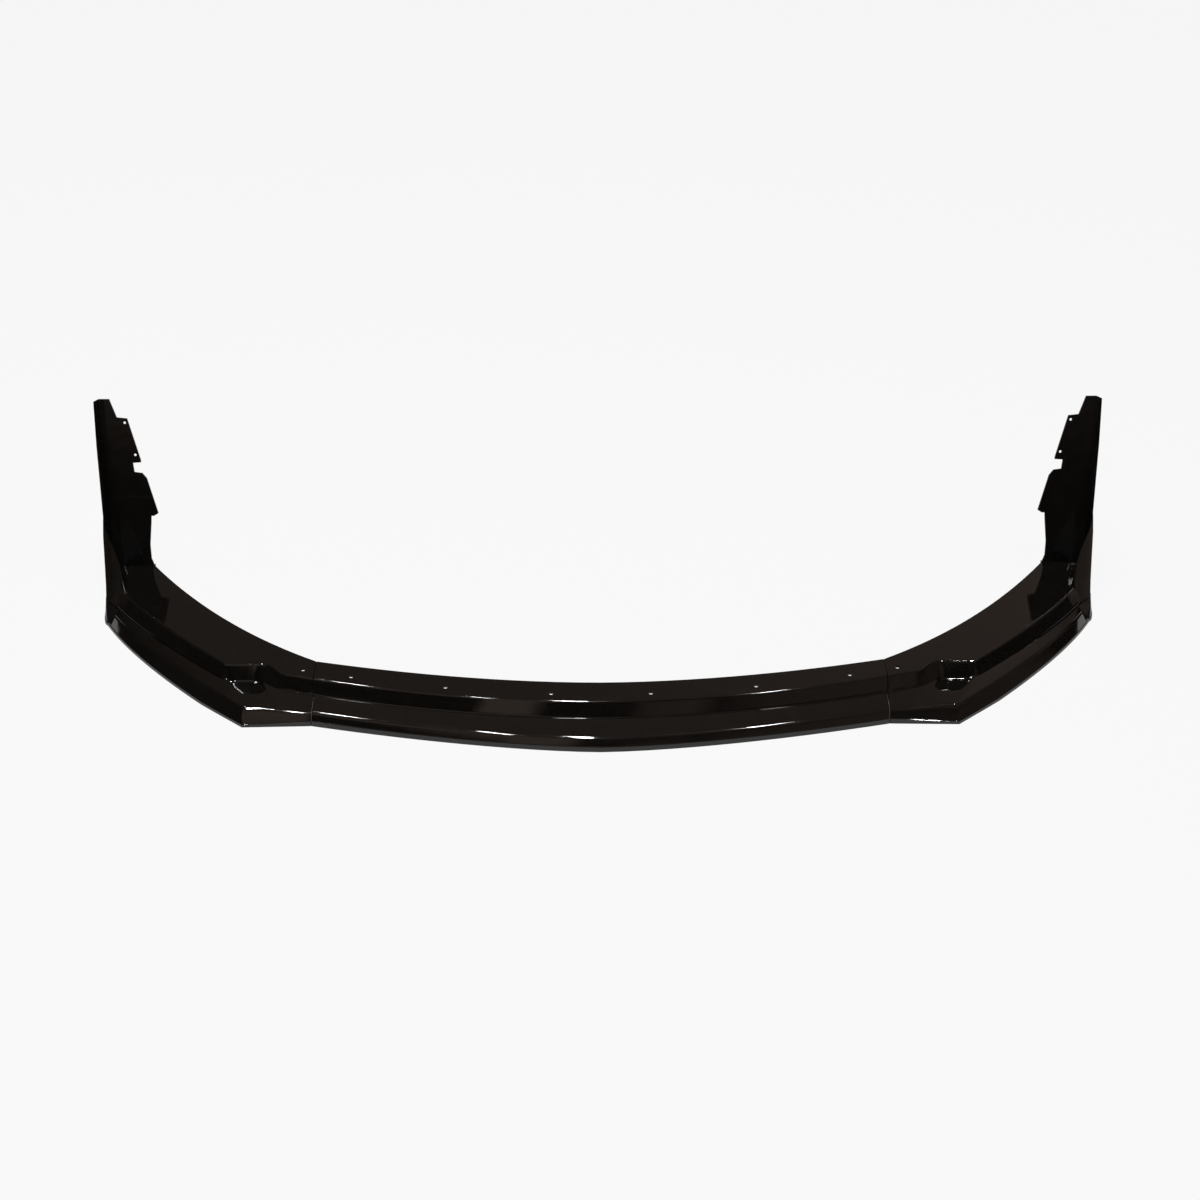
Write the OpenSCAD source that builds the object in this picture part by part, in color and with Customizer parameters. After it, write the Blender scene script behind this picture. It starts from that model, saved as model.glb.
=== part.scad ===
// Front splitter lip: a centre moulding and two side mouldings that carry upright wheel arch flanges.
// Frame: X across the car, +Y to the rear, +Z up. It rests on the lower rim at Z = 0.
// Plan distances are measured back from the foremost point of the rim, and the whole is centred last.

/* [Overall] */
// Width over the outermost edges of the two arch flanges
overall_w = 1846; // [1800:1:1900]
// Wall thickness of the mouldings
wall = 3; // [2.4:0.1:3.6]

/* [Centre section] */
// Distance of each seam in from the outermost edge
seam_in = 433; // [413:1:453]
// Gap between two mouldings at a seam
seam_gap = 0.6; // [0.4:0.1:1.2]
// How far the rim at a seam lies behind its foremost point
rim_bow = 82; // [70:1:92]
// Distance from the foremost point back to the top edge of the riser, on the centre line
riser_y = 64; // [56:1:72]
// How far the top edge of the riser at a seam lies behind its middle
riser_bow = 76; // [66:1:86]
// Depth of the bumper ledge, on the centre line
ledge_d = 59; // [48:1:70]
// How far the rear edge of the ledge at a seam lies behind its middle
ledge_bow = 72; // [62:1:82]

/* [Profile] */
// Height of the bumper ledge above the ground line of the rim
ledge_z = 59; // [54:1:64]
// Height of the blade's top where it meets the riser
blade_z = 35; // [31:1:38]
// Height of the bend between the blade's top and its nose
nose_z = 22.5; // [19:0.5:26]
// How far that bend lies behind the rim
nose_in = 7; // [5:0.5:9]
// Height of the rim band under the nose
rim_h = 9; // [7:0.5:12]
// How far the rim band stands proud of the nose
rim_proud = 1.6; // [0.8:0.1:2.2]
// How far the riser leans back over its height
riser_in = 6; // [3:0.5:9]
// Radius of the bend at the nose
nose_r = 7; // [5:0.5:9]
// Radius of the root between the blade and the riser
root_r = 4; // [2:0.5:6]
// Radius of the edge between the riser and the ledge
fold_r = 5; // [4:0.5:6]

/* [Side section] */
// Distance of the blade's front corner in from the outermost edge
corner_in = 315; // [303:1:327]
// Distance of that corner behind the foremost point
corner_y = 79; // [70:1:90]
// Distance in from the outermost edge at which the riser starts to step back
step_from_in = 377; // [371:1:385]
// Distance in from the outermost edge at which that step ends
step_to_in = 341; // [331:1:349]
// Distance of the riser's outer corner in from the outermost edge
shelf_in = 275; // [267:1:283]
// Distance of the riser's outer corner behind the foremost point
shelf_y = 188; // [180:1:196]
// Width of the blade just behind its front corner
blade_w = 55; // [48:1:60]
// Width of the blade where the fence starts
blade_end_w = 36; // [30:1:40]
// Heading of the riser behind its outer corner, in degrees from straight across
sweep_front = 43; // [40:0.5:46]
// Heading of the riser where the fence starts
sweep_rear = 56; // [53:0.5:59]
// Heading of the ledge's rear edge behind the seam
inner_front = 32; // [29:0.5:35]
// Heading of the ledge's rear edge where it meets the arch flange
inner_rear = 56; // [53:0.5:59]

/* [Scoop] */
// Depth of the scoop sunk into the blade beside the riser
scoop_d = 7; // [4:0.5:9]
// Distance of the middle of the scoop in from the outermost edge
scoop_in = 323; // [317:1:329]
// Length of the scoop across the car
scoop_l = 66; // [56:1:72]
// How far the scoop reaches forward from the riser
scoop_w = 52; // [42:1:58]

/* [Arch flange] */
// Distance of the flange behind the foremost point, at the ledge
arch_y = 539; // [529:1:549]
// Distance of the flange's inner edge in from the outermost edge, at the ledge
arch_in = 91; // [83:1:99]
// How far the flange leans back, in degrees
arch_lean = 17; // [13:0.5:20]
// Height of the flange above the ledge, along its lean
arch_h = 313; // [295:1:330]
// Height of the lower panel above the ledge, along the lean
panel_h = 131; // [124:1:138]
// How far the upper plate lies behind the lower panel
plate_step = 5; // [4:0.5:7]

/* [Fence] */
// Distance in from the outermost edge at which the fence rises out of the riser
fence_in = 49; // [43:1:55]
// Distance of that place behind the foremost point
fence_y = 439; // [432:1:446]
// Height of the fence's top above the ledge, where it reaches the upper strip
fence_h = 131; // [118:1:142]
// Depth of the strip that runs up the outer edge of the flange
strip_d = 36; // [28:1:42]
// How far the fence lies inboard of the strip's outermost point
fence_tuck = 7; // [4:1:10]

/* [Fixings] */
// Diameter of the screw holes in the ledge
ledge_hole_d = 7.5; // [6:0.1:9]
// Distance of the ledge holes behind the top edge of the riser
ledge_hole_back = 22; // [18:0.5:26]
// Distance of the inner pair of ledge holes from the centre line
ledge_hole_x1 = 84; // [70:1:98]
// Distance of the middle pair from the seam
ledge_hole_in2 = 227; // [210:1:245]
// Distance of the outer pair on the centre section from the seam
ledge_hole_in3 = 64; // [50:1:80]
// Distance of the hole in each side section behind its seam
ledge_hole_past = 20; // [16:1:26]
// Diameter of the screw holes in the upper plate
tab_hole_d = 4.8; // [4:0.1:6]

/* [Seam bolts] */
// Thread diameter of the bolts that join the sections
bolt_d = 6; // [5:0.5:6.5]
// Clearance of a bolt in its hole, on the diameter
bolt_play = 0.6; // [0.4:0.1:1]
// Distance between the two bolts of a seam
bolt_pitch = 24; // [22:0.5:26]
// Height of the bolts
bolt_z = 34; // [31:0.5:36]

/* [Hidden] */
gloss_black = [0.05, 0.045, 0.045];
zinc = [0.72, 0.73, 0.75];

half_w = overall_w / 2;
seam_x = half_w - seam_in;
corner_x = half_w - corner_in;
step_from_x = half_w - step_from_in;
step_to_x = half_w - step_to_in;
shelf_x = half_w - shelf_in;
scoop_x = half_w - scoop_in;
arch_in_x = half_w - arch_in;
fence_x = half_w - fence_in;
fence_out_x = half_w - fence_tuck;
flange_top = ledge_z + arch_h * cos(arch_lean);
overall_h = flange_top + strip_d * sin(arch_lean);
plate_back = plate_step + wall;
depth = arch_y + arch_h * sin(arch_lean) + plate_back * cos(arch_lean);
centre_stations = 26;
shelf_stations = 17;
sweep_stations = 15;
turn_stations = 9;
fold_points = 9;
bow_rim_power = 1.55;
bow_riser_power = 1.85;
bow_ledge_power = 1.8;
end_blade_w = 1.5;

function mix(a, b, t) = a + (b - a) * t;
function clamp01(t) = min(1, max(0, t));
function smooth(t) = let (u = clamp01(t)) u * u * (3 - 2 * u);
function unit(v) = v / norm(v);
function heading(a) = [cos(a), sin(a)];

// A quadratic curve between two places, whose control point is where the two headings cross
function crossing(p, a, q, b) =
    let (u = heading(a), v = heading(b), d = q - p) p + u * (d.x * v.y - d.y * v.x) / (u.x * v.y - u.y * v.x);
function bend(p, a, q, b, t) =
    let (c = crossing(p, a, q, b)) (1 - t) * (1 - t) * p + 2 * t * (1 - t) * c + t * t * q;

// Plan curves of the centre section
function rim_front(x) = rim_bow * pow(abs(x) / seam_x, bow_rim_power);
function riser_front(x) = riser_y + riser_bow * pow(abs(x) / seam_x, bow_riser_power);
function ledge_rear(x) = riser_y + ledge_d + ledge_bow * pow(abs(x) / seam_x, bow_ledge_power);

// Plan curves of the side section
riser_slope = riser_bow * bow_riser_power / seam_x;
function shelf_riser(x) =
    mix(riser_y + riser_bow + riser_slope * (x - seam_x), shelf_y, smooth((x - step_from_x) / (step_to_x - step_from_x)));
riser_corner = [shelf_x, shelf_y];
rim_corner = [corner_x, corner_y];
fence_foot = [fence_x, fence_y];
side_x = seam_x + seam_gap;
turn_end = [fence_out_x - end_blade_w, arch_y - strip_d - 12];
inner_seam = [side_x, ledge_rear(seam_x)];
inner_arch = [arch_in_x, arch_y];
inner_at_corner = 0.35;
inner_at_fence = 0.9;
function inner_edge(u) = bend(inner_seam, inner_front, inner_arch, inner_rear, u);

// Rounds the corner b of the path a, b, c with n chords
function round_corner(a, b, c, r, n) =
    let (u = unit(a - b), v = unit(c - b), half = acos(max(-1, min(1, u * v))) / 2)
    let (back = min(r / tan(half), 0.48 * min(norm(a - b), norm(c - b))))
    [for (i = [0 : n]) let (t = i / n) b + u * back * (1 - t) * (1 - t) + v * back * t * t];

// The outer face of the section, from the rim's foot to the rear of the ledge, as distance and height.
// w is the blade's width, run the ledge's depth, reach and sink the scoop's size, and proud the rim's step.
function outer_face(w, run, reach, sink, proud) =
    let (
        k = min(1, w / 30),
        foot = w - k * riser_in,
        nose = [k * nose_in, nose_z],
        lip = foot - reach - k * 7,
        rise = (blade_z - nose_z) / (foot - nose.x),
        lip_z = nose_z + rise * (lip - nose.x),
        root = [foot, blade_z - sink],
        floor = [lip + k * 4, min(lip_z, blade_z - sink) - 0.4],
        fold = [w, ledge_z],
        rear = [w + run, ledge_z]
    )
    concat(
        [[0, 0], [k * 0.8, rim_h - 0.4], [k * (0.8 + proud), rim_h + 0.4]],
        round_corner([k * (0.8 + proud), rim_h + 0.4], nose, [lip, lip_z], nose_r, 4),
        [[lip, lip_z], floor],
        round_corner(floor, root, fold, root_r, 3),
        round_corner(root, fold, rear, fold_r, fold_points - 1),
        [rear]
    );
fold_first = 3 + 5 + 2 + 4;
profile_points = fold_first + fold_points + 1;

// The inner face, one wall behind the outer face without the rim's step
function right_of(d) = [d.y, -d.x];
function inner_point(p, i) =
    let (last = len(p) - 1)
    let (m = right_of(unit(p[max(i, 1)] - p[max(i, 1) - 1])), n = right_of(unit(p[min(i, last - 1) + 1] - p[min(i, last - 1)])))
    p[i] + (m + n) * wall / (1 + m * n);
function inner_face(w, run, reach, sink) =
    let (p = outer_face(w, run, reach, sink, 0.6))
    [for (i = [0 : len(p) - 1]) i == 0 ? [wall, 0] : inner_point(p, i)];

// Places a section point on the station whose rim, fold and ledge edge lie at r, f and l in plan
function place(r, f, l, p) =
    let (w = norm(f - r))
    let (q = p.x <= w ? r + unit(f - r) * p.x : f + unit(l - f) * (p.x - w))
    [q.x, q.y, p.y];

// Everything above the ledge leans back with the flange. What is below follows by the share k.
function lean(p, k) = [p.x, p.y + (p.z - ledge_z) * tan(arch_lean) * (p.z > ledge_z ? 1 : k), p.z];

// How far the fence flares out at a height
function flare(z) = (fence_tuck + end_blade_w) * smooth((z - ledge_z - fence_h) / (0.5 * arch_h));

// The fence stands on the fold of a station: up its outer face, over its top and down its inner face
function fence_point(r, f, l, top, i) =
    let (
        inward = unit(l - f),
        n = fold_points - 1,
        up = i <= n / 2 ? i / (n / 2) : (n - i) / (n / 2),
        z = ledge_z + (top - ledge_z) * up - (up == 1 ? 0 : wall * 0.15 * up),
        depth_in = i == n ? max(wall, fold_r) : i == n / 2 ? wall / 2 : i < n / 2 ? 0 : wall
    )
    [f.x + inward.x * depth_in + flare(z), f.y + inward.y * depth_in, z];

// One closed ring of a station: the outer face forward, then the inner face backward
function ring(r, f, l, reach, sink, top, k) =
    let (
        w = norm(f - r),
        run = norm(l - f),
        out = outer_face(w, run, reach, sink, rim_proud),
        in = inner_face(w, run, reach, sink),
        grown = clamp01((top - ledge_z) / 12)
    )
    concat(
        [for (i = [0 : profile_points - 1])
            let (j = i - fold_first, base = place(r, f, l, out[i]))
            let (fenced = j > 0 && j < fold_points && grown > 0)
            lean(fenced ? mix(base, fence_point(r, f, l, top, j), grown) : base, k)],
        [for (i = [profile_points - 1 : -1 : 0]) lean(place(r, f, l, in[i]), k)]
    );

// A closed skin through rings. Each end is closed in strips between the outer and the inner face.
module through(rings, fenced_end = false) {
    n = profile_points;
    m = 2 * n;
    last = len(rings) - 1;
    mid = fold_first + (fold_points - 1) / 2;
    function pair(i) = m - 1 - i;
    sides = [for (k = [0 : last - 1], i = [0 : m - 1])
        let (a = k * m + i, b = k * m + (i + 1) % m)
        each [[a, b, b + m], [a, b + m, a + m]]];
    start = [for (i = [0 : n - 2]) each [[i, pair(i), pair(i + 1)], [i, pair(i + 1), i + 1]]];
    base = last * m;
    plain = [for (i = [0 : n - 2])
        each [[i, pair(i + 1), pair(i)], [i, i + 1, pair(i + 1)]]];
    // Where the fence meets the end, its two faces close on each other and the ring under it closes below
    fa = fold_first;
    fb = fold_first + fold_points - 1;
    below = [for (i = [0 : n - 2]) if (i < fa || i >= fb)
        each [[i, pair(i + 1), pair(i)], [i, i + 1, pair(i + 1)]]];
    fence = [for (i = [fa : mid - 1]) let (o = fb + fa - i)
        each i == mid - 1 ? [[i, i + 1, o]] : [[i, i + 1, o - 1], [i, o - 1, o]]];
    under = [for (i = [fa : fb - 1]) i < mid ? [fa, pair(i + 1), pair(i)] : [fb, pair(i + 1), pair(i)]];
    close = [[fa, fb, pair(mid)]];
    end = [for (t = fenced_end ? concat(below, fence, under, close) : plain) [for (i = t) i + base]];
    polyhedron(points = [for (r = rings) each r], faces = concat(sides, start, end), convexity = 8);
}

// Stations of the centre section, from one seam to the other
function centre_ring(x) =
    ring([x, rim_front(x)], [x, riser_front(x)], [x, ledge_rear(x)], 0, 0.6, ledge_z, 0);

// Stations of a side section: along the shelf, round the front corner, along the sweep and into the flange
function scoop_share(x) = let (d = abs(x - scoop_x) / (scoop_l / 2)) d >= 1 ? 0 : pow(1 - pow(d, 3), 0.5);
function shelf_ring(u) =
    let (
        fx = mix(side_x, shelf_x, u),
        rx = mix(side_x, corner_x, u),
        s = scoop_share(fx - (fx - rx) * 0.5)
    )
    ring([rx, mix(rim_front(seam_x), corner_y, u)], [fx, shelf_riser(fx)], inner_edge(inner_at_corner * u),
        scoop_w * s, 0.6 + (scoop_d - 0.6) * smooth(s * 1.6), ledge_z, 0);

function riser_sweep(t) = bend(riser_corner, sweep_front, fence_foot, sweep_rear, t);
function out_of(a) = [sin(a), -cos(a)];
function sweep_rim(t) = riser_sweep(t) + out_of(mix(sweep_front, sweep_rear, t)) * mix(blade_w, blade_end_w, t);
function corner_ring(u) =
    let (f = riser_corner + heading(sweep_front) * 3 * u)
    ring(mix(rim_corner, sweep_rim(0), u), f, inner_edge(inner_at_corner + 0.012 * u), 0, 0.6, ledge_z, 0);
function sweep_ring(t) =
    ring(sweep_rim(t), riser_sweep(t), inner_edge(mix(inner_at_corner + 0.03, inner_at_fence, t)), 0, 0.6, ledge_z, 0);

function fence_top(y) =
    y < arch_y - strip_d
        ? ledge_z + fence_h * pow(clamp01((y - fence_y) / (arch_y - strip_d - fence_y)), 0.37)
        : flange_top + (arch_y - y) * cos(arch_lean) * sin(arch_lean);
function cubic(p, a, b, q, t) =
    let (s = 1 - t) s * s * s * p + 3 * s * s * t * a + 3 * s * t * t * b + t * t * t * q;
function turn_fold(t) =
    cubic(fence_foot, fence_foot + heading(sweep_rear) * 8, [turn_end.x, mix(fence_y, turn_end.y, 0.45)], turn_end, t);
function turn_ring(t) =
    let (f = turn_fold(t), r = bend(sweep_rim(1), sweep_rear, turn_end + [end_blade_w, 0], 90, t))
    ring(r, f, inner_edge(mix(inner_at_fence, 0.96, t)), 0, 0.6, fence_top(f.y), t);
function strip_ring(y) =
    let (f = [turn_end.x, y], t = (y - turn_end.y) / (arch_y - turn_end.y))
    let (l = mix(inner_edge(0.96), inner_arch, clamp01(t)))
    ring(f + [end_blade_w, 0], f, [l.x, max(l.y, l.y + (y - arch_y))], 0, 0.6, fence_top(y), 1);

side_end_y = arch_y + (plate_step + wall / 2) / cos(arch_lean);
strip_ys = [arch_y - strip_d - 0.6, arch_y - strip_d, arch_y - strip_d / 2, arch_y, side_end_y];

module side_skin() {
    through(concat(
        [for (i = [0 : shelf_stations - 1]) shelf_ring(i / shelf_stations)],
        [for (i = [0 : 3]) corner_ring(i / 4)],
        [for (i = [0 : sweep_stations - 1]) sweep_ring((i + 0.15) / sweep_stations)],
        [for (i = [0 : turn_stations - 1]) turn_ring(pow(i / turn_stations, 1.3))],
        [for (y = strip_ys) strip_ring(y)]
    ), true);
}

// Works in the plane of the flange: X across, Y up along its lean, and Z out of its front face
module on_flange() translate([0, arch_y, ledge_z]) rotate([90 - arch_lean, 0, 0]) children();

skin_mid_x = fence_out_x - wall / 2;
slope = 0.274;
tip_x = arch_in_x - 10;
tip_w = panel_h - 32;
function slope_x(w) = tip_x + slope * (w - tip_w);
tab_top = panel_h + 146;
tab_low = panel_h + 68;
notch_low = panel_h + 46;
tab_hole_in = 7;

module lower_panel() {
    translate([0, 0, -wall]) linear_extrude(wall) polygon([
        [arch_in_x, -wall / 2], [arch_in_x + 6, 14], [arch_in_x + 7, 40], [arch_in_x + 3, 82],
        [slope_x(panel_h) + 1, panel_h], [skin_mid_x, panel_h], [skin_mid_x, -wall / 2]
    ]);
}

module upper_plate() {
    difference() {
        translate([0, 0, -plate_back]) linear_extrude(wall) polygon([
            [tip_x + 8, tip_w - 5], [tip_x, tip_w], [slope_x(notch_low - 12), notch_low - 12],
            [slope_x(notch_low - 12) + 8, notch_low - 2], [slope_x(notch_low) + 19, notch_low],
            [slope_x(tab_low) + 15, tab_low - 5], [slope_x(tab_low), tab_low - 4], [slope_x(tab_low), tab_low],
            [slope_x(tab_top), tab_top], [slope_x(tab_top) + 19, tab_top + 2],
            [half_w - 21, arch_h], [half_w - wall / 2, arch_h], [half_w - wall / 2, arch_h - 70],
            [skin_mid_x, fence_h + 20], [skin_mid_x, tip_w - 5]
        ]);
        for (w = [tab_low + 10, tab_top - 8])
            translate([slope_x(w) + tab_hole_in, w, -plate_back - 1]) cylinder(h = wall + 2, d = tab_hole_d, $fn = 48);
    }
}

module panel_step() {
    translate([slope_x(panel_h) + 3, panel_h - wall, -plate_back + wall / 2])
        cube([skin_mid_x - slope_x(panel_h) - 3, wall - 0.4, plate_back - wall]);
}

// The wall that closes a section under its ledge at the seam and takes the bolts
bolt_y = riser_y + riser_bow + 31;
wall_set = 0.3;
module seam_wall(x) {
    y0 = riser_y + riser_bow;
    y1 = ledge_rear(seam_x);
    low = bolt_z - 18;
    translate([x, 0, 0]) rotate([90, 0, 90]) linear_extrude(wall) polygon([
        [y0 + wall / 2, ledge_z - wall / 2], [y1 - 4, ledge_z - wall / 2], [y1 - 4, bolt_z], [y1 - 14, low],
        [y0 + 6, low], [y0 - riser_in, blade_z - wall - 2], [y0 - riser_in, blade_z - wall / 2]
    ]);
}

module bolt_holes(x, h) {
    for (s = [-0.5, 0.5])
        translate([x, bolt_y + s * bolt_pitch, bolt_z]) rotate([0, 90, 0])
            cylinder(h = h, d = bolt_d + bolt_play, center = true, $fn = 48);
}

module ledge_hole(x, y) translate([x, y, ledge_z - 2 * wall]) cylinder(h = 4 * wall, d = ledge_hole_d, $fn = 48);

module centred() translate([0, -depth / 2, 0]) children();
module both_sides() {
    children();
    mirror([1, 0, 0]) children();
}

module centre_section() {
    color(gloss_black) centred() difference() {
        union() {
            through([for (i = [0 : centre_stations]) centre_ring(mix(-seam_x, seam_x, i / centre_stations))]);
            both_sides() seam_wall(seam_x - wall - wall_set);
        }
        for (s = [-1, 1], x = [ledge_hole_x1, seam_x - ledge_hole_in2, seam_x - ledge_hole_in3])
            ledge_hole(s * x, riser_front(x) + ledge_hole_back);
        both_sides() bolt_holes(seam_x - wall, 4 * wall);
    }
}

module side_section() {
    difference() {
        union() {
            side_skin();
            seam_wall(side_x + wall_set);
            on_flange() {
                lower_panel();
                upper_plate();
                panel_step();
            }
        }
        ledge_hole(side_x + ledge_hole_past, riser_y + riser_bow + riser_slope * ledge_hole_past + ledge_hole_back);
        bolt_holes(side_x + wall, 4 * wall);
    }
}
module right_section() color(gloss_black) centred() side_section();
module left_section() color(gloss_black) centred() mirror([1, 0, 0]) side_section();

// A hexagon head bolt from inside the centre section, and its nut inside the side section
head_h = 4;
nut_h = 5;
hex_d = 11.5;
inside_face = seam_x - wall - wall_set;
far_face = side_x + wall + wall_set;
module bolt() {
    translate([-head_h, 0, 0]) rotate([0, 90, 0]) cylinder(h = head_h, d = hex_d, $fn = 6);
    rotate([0, 90, 0]) cylinder(h = far_face - inside_face + nut_h + 2, d = bolt_d, $fn = 48);
}
module nut() {
    rotate([0, 90, 0]) difference() {
        cylinder(h = nut_h, d = hex_d, $fn = 6);
        translate([0, 0, -1]) cylinder(h = nut_h + 2, d = bolt_d + 0.3, $fn = 48);
    }
}
module at_bolts(x) for (s = [-0.5, 0.5]) translate([x, bolt_y + s * bolt_pitch, bolt_z]) children();

module joint_bolts() color(zinc) centred() both_sides() at_bolts(inside_face - 0.05) bolt();
module joint_nuts() color(zinc) centred() both_sides() at_bolts(far_face + 0.05) nut();

centre_section();
left_section();
right_section();
joint_bolts();
joint_nuts();
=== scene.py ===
# Front splitter lip in gloss black plastic, set up as a studio still
import math

import bmesh
import bpy
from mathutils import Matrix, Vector


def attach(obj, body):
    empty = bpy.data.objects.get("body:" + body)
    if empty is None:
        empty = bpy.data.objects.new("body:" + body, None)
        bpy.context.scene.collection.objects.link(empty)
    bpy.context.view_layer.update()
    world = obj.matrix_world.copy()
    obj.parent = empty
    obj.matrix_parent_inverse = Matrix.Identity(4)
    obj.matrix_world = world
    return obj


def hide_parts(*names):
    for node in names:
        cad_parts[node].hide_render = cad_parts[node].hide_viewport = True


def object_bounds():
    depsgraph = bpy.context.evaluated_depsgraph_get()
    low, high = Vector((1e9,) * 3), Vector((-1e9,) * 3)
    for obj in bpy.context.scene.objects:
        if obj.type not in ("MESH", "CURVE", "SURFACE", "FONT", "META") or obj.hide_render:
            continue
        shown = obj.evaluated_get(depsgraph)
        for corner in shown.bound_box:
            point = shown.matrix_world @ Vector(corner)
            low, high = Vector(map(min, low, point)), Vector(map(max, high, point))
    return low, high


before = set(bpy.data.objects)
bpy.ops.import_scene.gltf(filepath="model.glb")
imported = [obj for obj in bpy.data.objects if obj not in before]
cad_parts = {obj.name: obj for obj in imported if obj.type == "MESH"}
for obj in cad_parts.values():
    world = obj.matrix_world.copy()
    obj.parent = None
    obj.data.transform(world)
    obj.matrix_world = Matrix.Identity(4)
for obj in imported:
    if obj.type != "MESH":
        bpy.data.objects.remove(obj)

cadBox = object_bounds()
frontY = cadBox[0][1]


# Shader maths: a wrapped socket takes the usual operators and adds the Math nodes itself
class Wire:
    def __init__(self, shader, socket):
        self.shader = shader
        self.socket = socket

    def math(self, operation, other):
        return self.shader.add("ShaderNodeMath", {"operation": operation}, [self, other])

    def __add__(self, other):
        return self.math("ADD", other)

    def __mul__(self, other):
        return self.math("MULTIPLY", other)

    __radd__ = __add__
    __rmul__ = __mul__

    def most(self, other):
        return self.math("MAXIMUM", other)

    # 0 below low, 1 above high, with a soft way between
    def rise(self, low, high):
        settings = {"interpolation_type": "SMOOTHSTEP"}
        return self.shader.add("ShaderNodeMapRange", settings, [self, low, high])

    # Another output of the same node
    def beside(self, name):
        return Wire(self.shader, self.socket.node.outputs[name])


class Shader:
    def __init__(self, owner):
        owner.use_nodes = True
        self.tree = owner.node_tree
        self.tree.nodes.clear()

    # One way to make a node: its type, its settings, then its inputs in order or by name
    def add(self, kind, settings=None, inputs=(), output=0):
        node = self.tree.nodes.new(kind)
        for name, value in (settings or {}).items():
            if name == "stops":
                self.setStops(node.color_ramp.elements, value)
            else:
                setattr(node, name, value)
        pairs = inputs.items() if isinstance(inputs, dict) else enumerate(inputs)
        for key, value in pairs:
            if isinstance(value, Wire):
                self.tree.links.new(value.socket, node.inputs[key])
            else:
                node.inputs[key].default_value = value
        return Wire(self, node.outputs[output])

    # Each stop is made at its place, because a ramp sorts its stops again when one is moved
    def setStops(self, elements, stops):
        elements.remove(elements[1])
        elements[0].position = stops[0][0]
        elements[0].color = (*stops[0][1], 1)
        for place, colour in stops[1:]:
            elements.new(place).color = (*colour, 1)

    def split(self, vector):
        axes = self.add("ShaderNodeSeparateXYZ", inputs=[vector])
        return [axes.beside(axis) for axis in "XYZ"]

    def noise(self, place, recipe):
        scale, detail, roughness = recipe
        inputs = {"Vector": place, "Scale": scale, "Detail": detail, "Roughness": roughness}
        return self.add("ShaderNodeTexNoise", inputs=inputs)

    # The Mix node has sockets for each type of data under the same names, so its colours go by number
    def blend(self, factor, first, second, method="MIX"):
        settings = {"data_type": "RGBA", "blend_type": method}
        return self.add("ShaderNodeMix", settings, {0: factor, 6: first, 7: second}, 2)

    def output(self, wire, kind="ShaderNodeOutputMaterial"):
        node = self.tree.nodes.new(kind)
        self.tree.links.new(wire.socket, node.inputs["Surface"])


# Materials. A pattern is given as the scale, detail and roughness of its noise, and a spread as the two
# levels of that noise between which it comes in.
glossBlack = {
    "colour": (0.0018, 0.0016, 0.0015),  # deep black with a trace of brown
    "dustColour": (0.011, 0.0098, 0.009),
    "roughness": 0.045,
    "ior": 1.5,
    "hazeRoughness": 0.05,               # extra roughness where the polish is hazy
    "haze": (9.0, 5.0, 0.6),
    "hazeSpread": (0.42, 0.78),
    "dust": (2600.0, 1.0, 0.5),          # fine specks, which lie where the film of dust is thick
    "dustSpread": (0.70, 0.78),
    "dustShade": 0.6,                    # how far the specks take on the dust's colour
    "dustRoughness": 0.12,
    "film": (38.0, 3.0, 0.55),
    "filmSpread": (0.5, 0.75),
    "veilSpread": (0.45, 0.8),           # the film itself shows as a faint veil
    "veilShade": 0.08,
    "ripple": (46.0, 2.0, 0.4),          # moulding ripple, with the strength and depth of its bump
    "rippleStrength": 0.035,
    "rippleDepth": 0.002,
}


def makeGlossBlack(name, recipe):
    material = bpy.data.materials.new(name)
    shader = Shader(material)
    place = shader.add("ShaderNodeTexCoord", output="Object")
    haze = shader.noise(place, recipe["haze"])
    dust = shader.noise(place, recipe["dust"])
    film = shader.noise(place, recipe["film"])
    specks = dust.rise(*recipe["dustSpread"]) * film.rise(*recipe["filmSpread"])
    veil = film.rise(*recipe["veilSpread"]) * recipe["veilShade"]
    dirt = specks * recipe["dustShade"] + veil
    colour = shader.blend(dirt, (*recipe["colour"], 1), (*recipe["dustColour"], 1))
    roughness = haze.rise(*recipe["hazeSpread"]) * recipe["hazeRoughness"] + recipe["roughness"]
    roughness = roughness + specks * recipe["dustRoughness"]
    ripple = shader.noise(place, recipe["ripple"])
    normal = shader.add("ShaderNodeBump", inputs={
        "Strength": recipe["rippleStrength"], "Distance": recipe["rippleDepth"], "Height": ripple,
    })
    shader.output(shader.add("ShaderNodeBsdfPrincipled", inputs={
        "Base Color": colour, "Roughness": roughness, "IOR": recipe["ior"], "Normal": normal,
    }))
    return material


zincPlate = {
    "colour": (0.55, 0.56, 0.57),
    "dull": (0.33, 0.33, 0.33),
    "roughness": 0.28,
    "dullRoughness": 0.18,               # extra roughness of the dull patches
    "patches": (420.0, 4.0, 0.5),
    "patchSpread": (0.4, 0.7),
}


def makeZinc(name, recipe):
    material = bpy.data.materials.new(name)
    shader = Shader(material)
    place = shader.add("ShaderNodeTexCoord", output="Object")
    patches = shader.noise(place, recipe["patches"]).rise(*recipe["patchSpread"])
    colour = shader.blend(patches, (*recipe["colour"], 1), (*recipe["dull"], 1))
    roughness = patches * recipe["dullRoughness"] + recipe["roughness"]
    shader.output(shader.add("ShaderNodeBsdfPrincipled", inputs={
        "Base Color": colour, "Metallic": 1.0, "Roughness": roughness,
    }))
    return material


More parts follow.
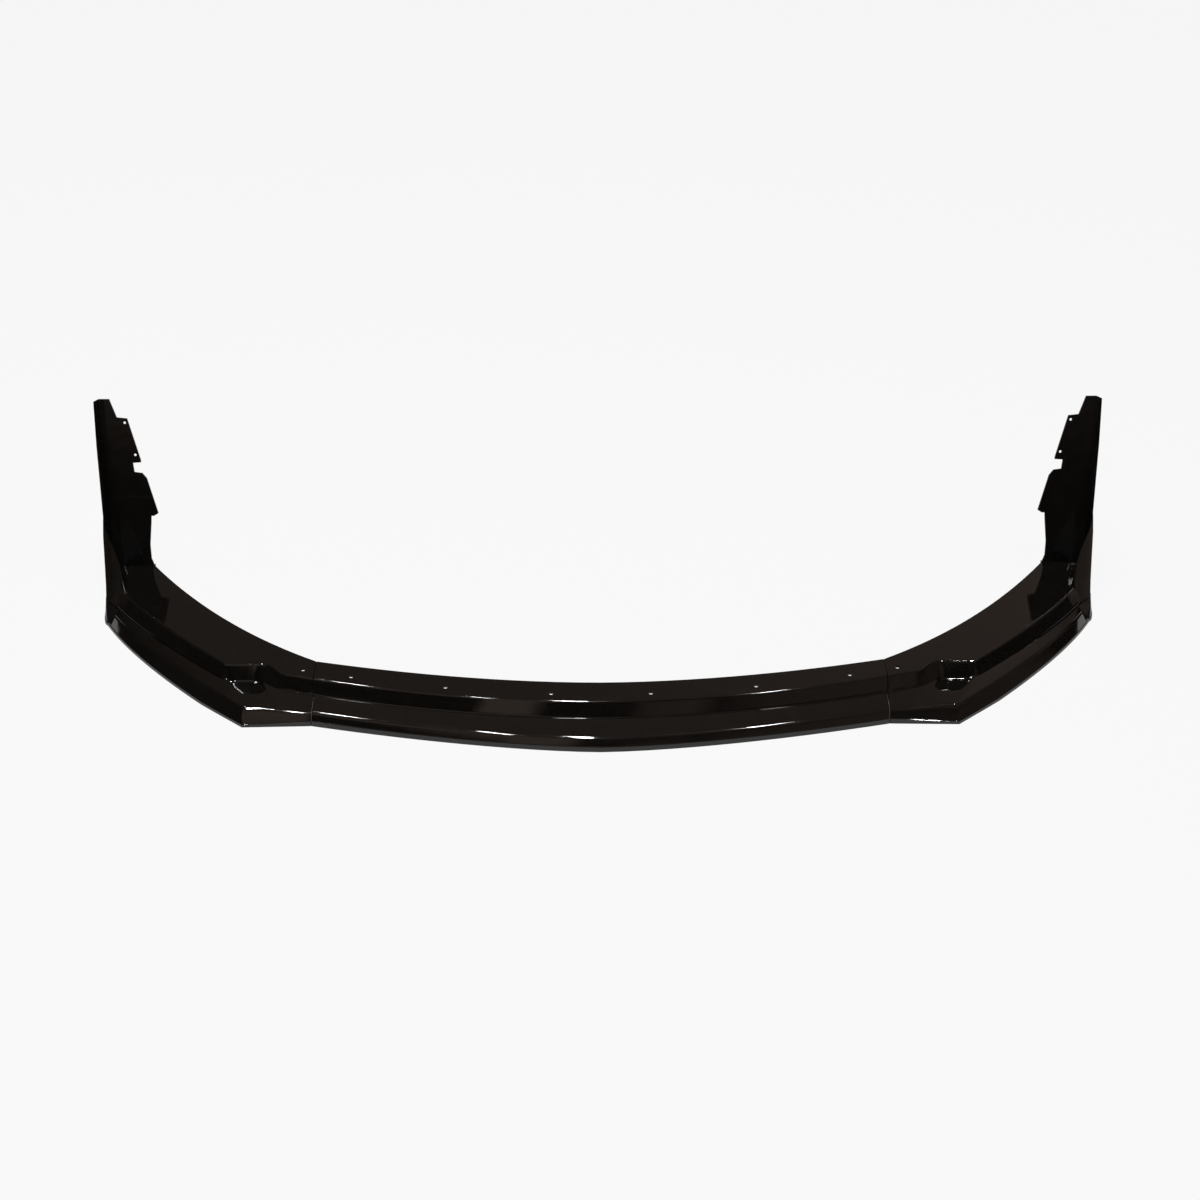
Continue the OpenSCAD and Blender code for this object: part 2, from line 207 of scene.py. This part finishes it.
# The sawn ends of the mouldings at the seams are dull
trimmedEdge = {
    "colour": (0.003, 0.0028, 0.0026),
    "dust": (0.007, 0.0066, 0.006),
    "roughness": 0.8,
    "ior": 1.12,
    "grain": (900.0, 3.0, 0.5),
    "dustSpread": (0.4, 0.7),
    "roughSpread": (0.3, 0.7),
    "extraRoughness": 0.15,              # added where the grain is strongest
}


def makeTrimmedEdge(name, recipe):
    material = bpy.data.materials.new(name)
    shader = Shader(material)
    place = shader.add("ShaderNodeTexCoord", output="Object")
    grain = shader.noise(place, recipe["grain"])
    colour = shader.blend(grain.rise(*recipe["dustSpread"]), (*recipe["colour"], 1), (*recipe["dust"], 1))
    roughness = grain.rise(*recipe["roughSpread"]) * recipe["extraRoughness"] + recipe["roughness"]
    shader.output(shader.add("ShaderNodeBsdfPrincipled", inputs={
        "Base Color": colour, "Roughness": roughness, "IOR": recipe["ior"],
    }))
    return material


blackPlastic = makeGlossBlack("glossBlackPlastic", glossBlack)
trimmed = makeTrimmedEdge("trimmedEdge", trimmedEdge)
zinc = makeZinc("zincPlatedSteel", zincPlate)
print("materials ready")


# Mouldings: each is a smooth-shaded copy of its solid, with a finer profile in front of the riser.
# Places in plan are in metres, x from the centre line outward and y back from the front of the part.
moulding = {
    "weld": 0.00001,                  # vertices closer than this are one
    "crease": math.radians(33),       # sharper edges stay sharp in the shading
    "seam": 0.490,                    # distance of the seams from the centre line
    "seamGap": 0.0006,
    "seamTolerance": 0.0001,          # vertices this close to a seam's planes belong to it
    "grooveTop": 0.0008,              # half the groove's width, outside and inside
    "grooveFoot": 0.00003,
    "trimmedFacing": 0.95,            # a face at a seam that looks sideways more than this is a sawn end
    "riserFront": 0.064,              # the riser's top edge on the centre line
    "riserBow": 0.076,                # how far that edge bows back at a seam
    "riserPower": 1.85,
    "riserMargin": 0.004,             # this far behind the edge is still reshaped
    "corner": (0.649, 0.189),         # the riser's outer corner
    "cornerLead": 0.02,               # the way from the seam to the corner ends this far before it
    "cornerShare": 0.8,               # after this share of that way the profile is the corner's
    "cornerTurn": (-21, -43),         # heading before and behind the corner, in degrees from straight back
    "sweepEnd": (0.890, 13),          # where the sweep ends, and how far the heading turns along it
    "fade": (0.425, 0.478),           # over this stretch the blade runs out
    "step": (0.540, 0.568, 0.600),    # the riser's step in x: start, middle and end
    "stepFoot": (0.009, -0.004),      # the most that the riser's foot moves there, outward and back
    "stepBelow": 0.004,               # the step's move reaches this far below the blade's top
    "scoop": (0.572, 0.648, 0.174),   # between these in x and behind this, the riser stands in the scoop
    "blade": 0.035,                   # height of the blade's top at the riser
    "wallSide": 0.860,                # the outer wall stands outward of this and behind the next
    "wallBehind": 0.425,
    "wallHeights": (0.010, 0.215),
    "wallFade": (0.02, 0.06),         # the lean comes in above the wall's foot and goes out below its top
    "wallFacing": (0.2, 0.6),         # and comes in as the wall looks sideways
    "wallLean": (-0.15, 1.1),         # how far its normals lean, back and up
    # A height on the profile, then its moves in from the rim and up: middle, corner and blade's end
    "profile": [
        (0.0, (0, 0), (0, 0), (0, 0)),
        (0.009, (0, 0), (0, -0.004), (0, -0.004)),
        (0.0225, (0.0025, -0.001), (0.013, 0.0055), (0.006, 0.001)),
        (0.035, (-0.0045, 0.001), (-0.0045, 0.001), (-0.009, 0.001)),
        (0.0565, (0, 0), (0, 0), (0, 0)),
    ],
}
sections = {
    "centreMoulding": "centre_section",
    "leftMoulding": "left_section",
    "rightMoulding": "right_section",
}


def share(value, low, high):
    return min(1.0, max(0.0, (value - low) / (high - low)))


def soft(value):
    return value * value * (3 - 2 * value)


# The way in from the rim at a place, as an angle from straight back
def heading(x, y, along, sweep, recipe):
    cornerX, cornerY = recipe["corner"]
    before, behind = recipe["cornerTurn"]
    turned = recipe["sweepEnd"][1]
    turn = math.degrees(math.atan2(cornerX - x, cornerY - y))
    turn = max(min(turn, before * along), behind) - turned * sweep * (turn < behind)
    return math.radians(turn)


# On the centre moulding only what lies in front of the riser's top edge is reshaped
def isBehindRiser(x, y, recipe):
    bow = recipe["riserBow"] * (x / recipe["seam"]) ** recipe["riserPower"]
    return x < recipe["seam"] and y > recipe["riserFront"] + bow + recipe["riserMargin"]


# How strongly the riser's foot moves at its step, from 0 to 1
def stepBump(x, z, recipe):
    stepFrom, stepMiddle, stepTo = recipe["step"]
    bump = soft(share(x, stepFrom, stepMiddle)) * (1 - soft(share(x, stepMiddle, stepTo)))
    top = recipe["profile"][-1][0]
    return bump * (1 - share(z, recipe["blade"], top)) * (z >= recipe["blade"] - recipe["stepBelow"])


# How far the surface moves at a place on the right-hand half
def profileShift(x, y, z, recipe):
    cornerX = recipe["corner"][0]
    along = share(x, recipe["seam"], cornerX - recipe["cornerLead"])
    sweep = share(x, cornerX, recipe["sweepEnd"][0])
    scoopIn, scoopOut, scoopRear = recipe["scoop"]
    if scoopIn < x < scoopOut and y > scoopRear:
        z = max(z, recipe["blade"])
    stops = recipe["profile"]
    upper = next((i for i, stop in enumerate(stops) if z < stop[0]), None)
    if upper in (None, 0) or isBehindRiser(x, y, recipe):
        return Vector((0, 0, 0))
    low, high = stops[upper - 1], stops[upper]
    part = share(z, low[0], high[0])
    kept = 1 - soft(share(y, *recipe["fade"]))
    toCorner = soft(min(1.0, along / recipe["cornerShare"]))
    move = []
    for axis in (0, 1):
        middle, corner, end = (low[k][axis] * (1 - part) + high[k][axis] * part for k in (1, 2, 3))
        move.append((middle + (corner - middle) * toCorner + (end - corner) * sweep * toCorner) * kept)
    inward, up = move
    bump = stepBump(x, z, recipe)
    out, back = recipe["stepFoot"]
    turn = heading(x, y, along, sweep, recipe)
    return Vector((math.sin(turn) * inward + out * bump, math.cos(turn) * inward + back * bump, up))


# A seam is drawn as a narrow groove, which closes inward so that the floor doesn't show through it
def closeSeam(form, recipe):
    low, high = recipe["seam"], recipe["seam"] + recipe["seamGap"]
    middle = (low + high) / 2
    for vert in form.verts:
        x = abs(vert.co.x)
        if min(abs(x - low), abs(x - high)) < recipe["seamTolerance"]:
            inner = vert.normal.z - vert.normal.y < 0
            half = recipe["grooveFoot"] if inner else recipe["grooveTop"]
            vert.co.x = math.copysign(middle + math.copysign(half, x - middle), vert.co.x)


# Both halves move alike, mirrored on the centre line
def refine(form, recipe):
    for vert in form.verts:
        x, y, z = vert.co
        if z < recipe["profile"][-1][0]:
            shift = profileShift(abs(x), y - frontY, z, recipe)
            shift.x = math.copysign(shift.x, shift.x * x) if x else 0
            vert.co += shift


# The outer wall leans in as it rises: its normals are leaned here, and its outline stays
def leanWall(piece, recipe):
    bpy.context.view_layer.update()
    seen = piece.evaluated_get(bpy.context.evaluated_depsgraph_get()).data
    normals = [Vector(corner.vector) for corner in seen.corner_normals]
    piece.modifiers.clear()
    low, high = recipe["wallHeights"]
    fadeLow, fadeHigh = recipe["wallFade"]
    back, up = recipe["wallLean"]
    for loop in piece.data.loops:
        x, y, z = piece.data.vertices[loop.vertex_index].co
        normal = normals[loop.index]
        outward = normal.x * x > 0
        onWall = abs(x) > recipe["wallSide"] and y - frontY > recipe["wallBehind"]
        if onWall and outward and low < z < high:
            facing = soft(share(abs(normal.x), *recipe["wallFacing"]))
            amount = facing * soft(share(z, low, low + fadeLow))
            amount *= 1 - soft(share(z, high - fadeHigh, high))
            normals[loop.index] = (normal + Vector((0, back, up)) * amount).normalized()
    piece.data.normals_split_custom_set(normals)


def isTrimmed(face, recipe):
    x = abs(face.calc_center_median().x)
    low = recipe["seam"] - recipe["seamTolerance"]
    high = recipe["seam"] + recipe["seamGap"] + recipe["seamTolerance"]
    return abs(face.normal.x) > recipe["trimmedFacing"] and low < x < high


def smoothCopy(name, nodeName, materials, recipe):
    form = bmesh.new()
    form.from_mesh(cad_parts[nodeName].data)
    bmesh.ops.remove_doubles(form, verts=form.verts[:], dist=recipe["weld"])
    for face in form.faces:
        face.material_index = int(isTrimmed(face, recipe))
    form.normal_update()
    closeSeam(form, recipe)
    refine(form, recipe)
    form.normal_update()
    for face in form.faces:
        face.smooth = True
    for edge in form.edges:
        edge.smooth = len(edge.link_faces) == 2 and edge.calc_face_angle(math.pi) < recipe["crease"]
    mesh = bpy.data.meshes.new(name)
    form.to_mesh(mesh)
    form.free()
    for material in materials:
        mesh.materials.append(material)
    piece = bpy.data.objects.new(name, mesh)
    bpy.context.scene.collection.objects.link(piece)
    weights = piece.modifiers.new("weights", "WEIGHTED_NORMAL")
    weights.keep_sharp = True
    leanWall(piece, recipe)
    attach(piece, "root")
    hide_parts(nodeName)
    print(name, len(mesh.vertices), "vertices", len(mesh.polygons), "faces")


for name, nodeName in sections.items():
    smoothCopy(name, nodeName, (blackPlastic, trimmed), moulding)

for nodeName in ("joint_bolts", "joint_nuts"):
    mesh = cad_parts[nodeName].data
    mesh.materials.clear()
    mesh.materials.append(zinc)
print("fixings ready")


# Studio
studioFloor = {
    "radius": 40.0,
    "segments": 96,
    "colour": 0.93,
    "glow": 0.913,                       # the part of that colour which the camera sees without any light
}


def makeFloor(recipe):
    form = bmesh.new()
    bmesh.ops.create_circle(form, cap_ends=True, radius=recipe["radius"], segments=recipe["segments"])
    mesh = bpy.data.meshes.new("studioFloor")
    form.to_mesh(mesh)
    form.free()
    floor = bpy.data.objects.new("studioFloor", mesh)
    bpy.context.scene.collection.objects.link(floor)
    material = bpy.data.materials.new("paleFloor")
    shader = Shader(material)
    rays = shader.add("ShaderNodeLightPath")
    seen = rays.beside("Is Camera Ray").most(rays.beside("Is Glossy Ray"))
    seen = seen.most(rays.beside("Is Transmission Ray"))
    pale = recipe["colour"]
    plain = shader.add("ShaderNodeBsdfDiffuse", inputs={"Color": (pale, pale, pale, 1)})
    rest = pale - recipe["glow"]
    shaded = shader.add("ShaderNodeBsdfDiffuse", inputs={"Color": (rest, rest, rest, 1)})
    glow = shader.add("ShaderNodeEmission", inputs={
        "Color": (pale, pale, pale, 1), "Strength": recipe["glow"] / pale,
    })
    both = shader.add("ShaderNodeAddShader", inputs=[shaded, glow])
    shader.output(shader.add("ShaderNodeMixShader", inputs=[seen, plain, both]))
    mesh.materials.append(material)


makeFloor(studioFloor)

# Strip lamps overhead, running front to back: x, y and height of the middle, width, length, watts
stripLamps = [
    (-1.80, -0.20, 4.0, 0.085, 0.8, 69),
    (-1.14, -1.88, 4.0, 0.050, 1.1, 44),
    (-0.24, -1.03, 4.0, 0.240, 1.9, 162),
    (1.45, -1.03, 4.0, 0.068, 1.0, 65),
]


def makeStrip(index, x, y, z, width, length, power):
    light = bpy.data.lights.new(f"strip{index}", "AREA")
    light.shape = "RECTANGLE"
    light.size = width
    light.size_y = length
    light.energy = power
    lamp = bpy.data.objects.new(light.name, light)
    lamp.location = (x, y, z)
    bpy.context.scene.collection.objects.link(lamp)


for index, strip in enumerate(stripLamps):
    makeStrip(index, *strip)


# The room round the set is dim and brownish. Its levels go by height and by azimuth, 0 straight in
# front of the part and positive to the right. Heights are sines of the angle above the horizon.
room = {
    "tint": (1.0, 0.77, 0.63),
    "horizon": 0.02,
    "lowFrom": (0.12, 0.24),
    "low": [
        (-180, 0.13), (-140, 0.05), (-70, 0.03), (-18, 0.02), (-17, 0.5), (-10.5, 0.5), (-9.5, 0.02),
        (5.5, 0.03), (8, 0.2), (15, 0.25), (18, 0.05), (25, 0.17), (40, 0.22), (55, 0.08), (100, 0.12),
        (140, 0.3), (180, 0.13),
    ],
    "highFrom": (0.40, 0.46),
    "high": [
        (-180, 0.13), (-135, 0.06), (-90, 0.05), (-60, 0.1), (-42, 0.5), (-9, 0.5), (-6, 0.06),
        (25, 0.07), (32, 0.12), (100, 0.2), (140, 0.33), (180, 0.13),
    ],
    "overheadFrom": (0.62, 0.86),
    "overhead": 0.2,
}


def makeRoom(recipe):
    world = bpy.data.worlds.new("room")
    bpy.context.scene.world = world
    shader = Shader(world)
    x, y, z = shader.split(shader.add("ShaderNodeTexCoord", output="Generated"))
    azimuth = x.math("ARCTAN2", y * -1) * (0.5 / math.pi) + 0.5

    def band(name):
        stops = [(angle / 360 + 0.5, (level,) * 3) for angle, level in recipe[name]]
        return shader.add("ShaderNodeValToRGB", {"stops": stops}, [azimuth])

    horizon = (*(recipe["horizon"],) * 3, 1)
    overhead = (*(recipe["overhead"],) * 3, 1)
    level = shader.blend(z.rise(*recipe["lowFrom"]), horizon, band("low"))
    level = shader.blend(z.rise(*recipe["highFrom"]), level, band("high"))
    level = shader.blend(z.rise(*recipe["overheadFrom"]), level, overhead)
    tinted = shader.blend(1.0, level, (*recipe["tint"], 1), "MULTIPLY")
    glow = shader.add("ShaderNodeBackground", inputs={"Color": tinted, "Strength": 1.0})
    shader.output(glow, "ShaderNodeOutputWorld")


makeRoom(room)
print("studio ready")


# Camera
view = {
    "target": (0.00095, 0.0797, 0.0616),
    "distance": 3.6344,
    "elevation": math.radians(30),
    "turn": math.radians(-0.475),
    "lens": 60.0,                        # millimetres, as the sensor's width
    "sensor": 36,
    "clipEnd": 200,
}


def makeCamera(recipe):
    data = bpy.data.cameras.new("stillCamera")
    data.sensor_width = recipe["sensor"]
    data.lens = recipe["lens"]
    data.clip_end = recipe["clipEnd"]
    camera = bpy.data.objects.new("stillCamera", data)
    turn, elevation = recipe["turn"], recipe["elevation"]
    flat = math.cos(elevation)
    back = Vector((math.sin(turn) * flat, -math.cos(turn) * flat, math.sin(elevation)))
    camera.location = Vector(recipe["target"]) + back * recipe["distance"]
    camera.rotation_euler = back.to_track_quat("Z", "Y").to_euler()
    bpy.context.scene.collection.objects.link(camera)
    bpy.context.scene.camera = camera


makeCamera(view)
bpy.context.scene.view_settings.view_transform = "Standard"

print("scene ready")
